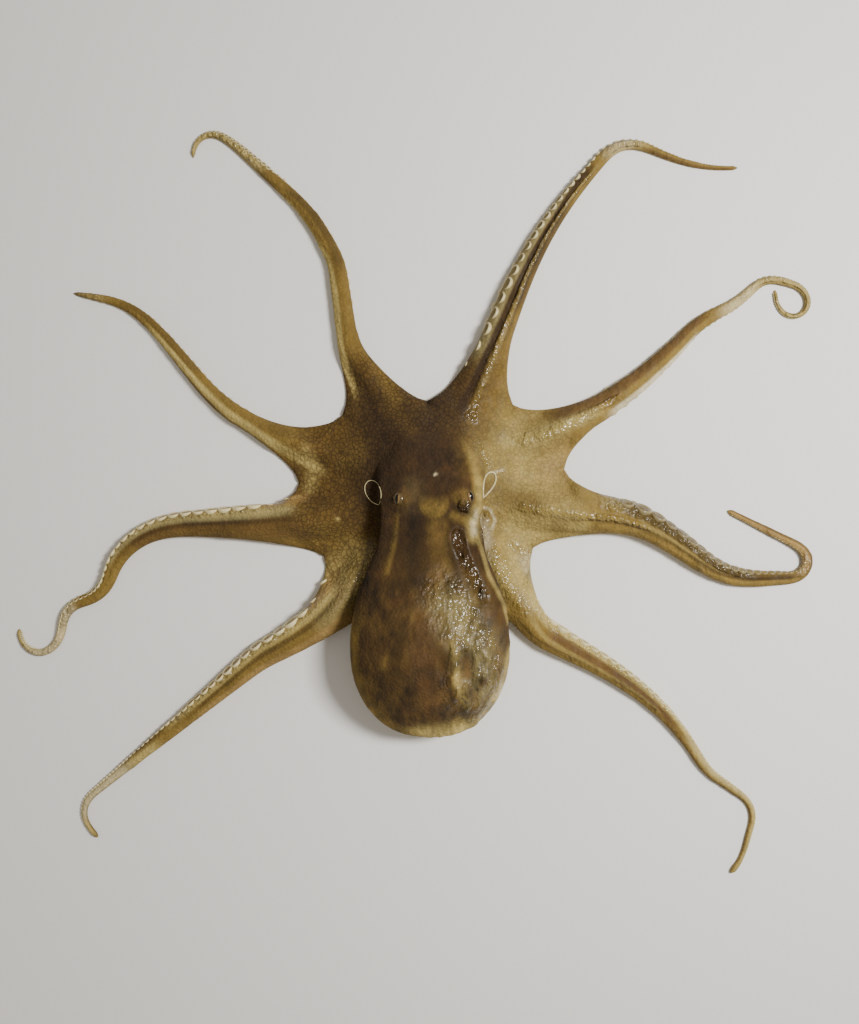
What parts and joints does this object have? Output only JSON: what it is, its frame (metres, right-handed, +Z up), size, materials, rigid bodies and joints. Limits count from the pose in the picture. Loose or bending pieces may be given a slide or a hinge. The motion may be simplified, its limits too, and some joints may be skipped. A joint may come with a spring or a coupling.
{
  "type": "whole octopus",
  "caption": "Whole raw octopus lying spread out with its mouth down: a pear-shaped sac, a small head with raised eyes, and webbed arms that taper to curled tips",
  "frame": {"origin": "on the surface the animal lies on, under its mouth", "axes": "+Z is up, the sac points to -Y, the front arms reach to +Y and the animal's right arms to +X"},
  "size_m": [0.2147, 0.2002, 0.0219],
  "materials": {
    "octopus": "wet mottled skin"
  },
  "bodies": {
    "root": {"octopus": "octopus"}
  },
  "joints": []
}
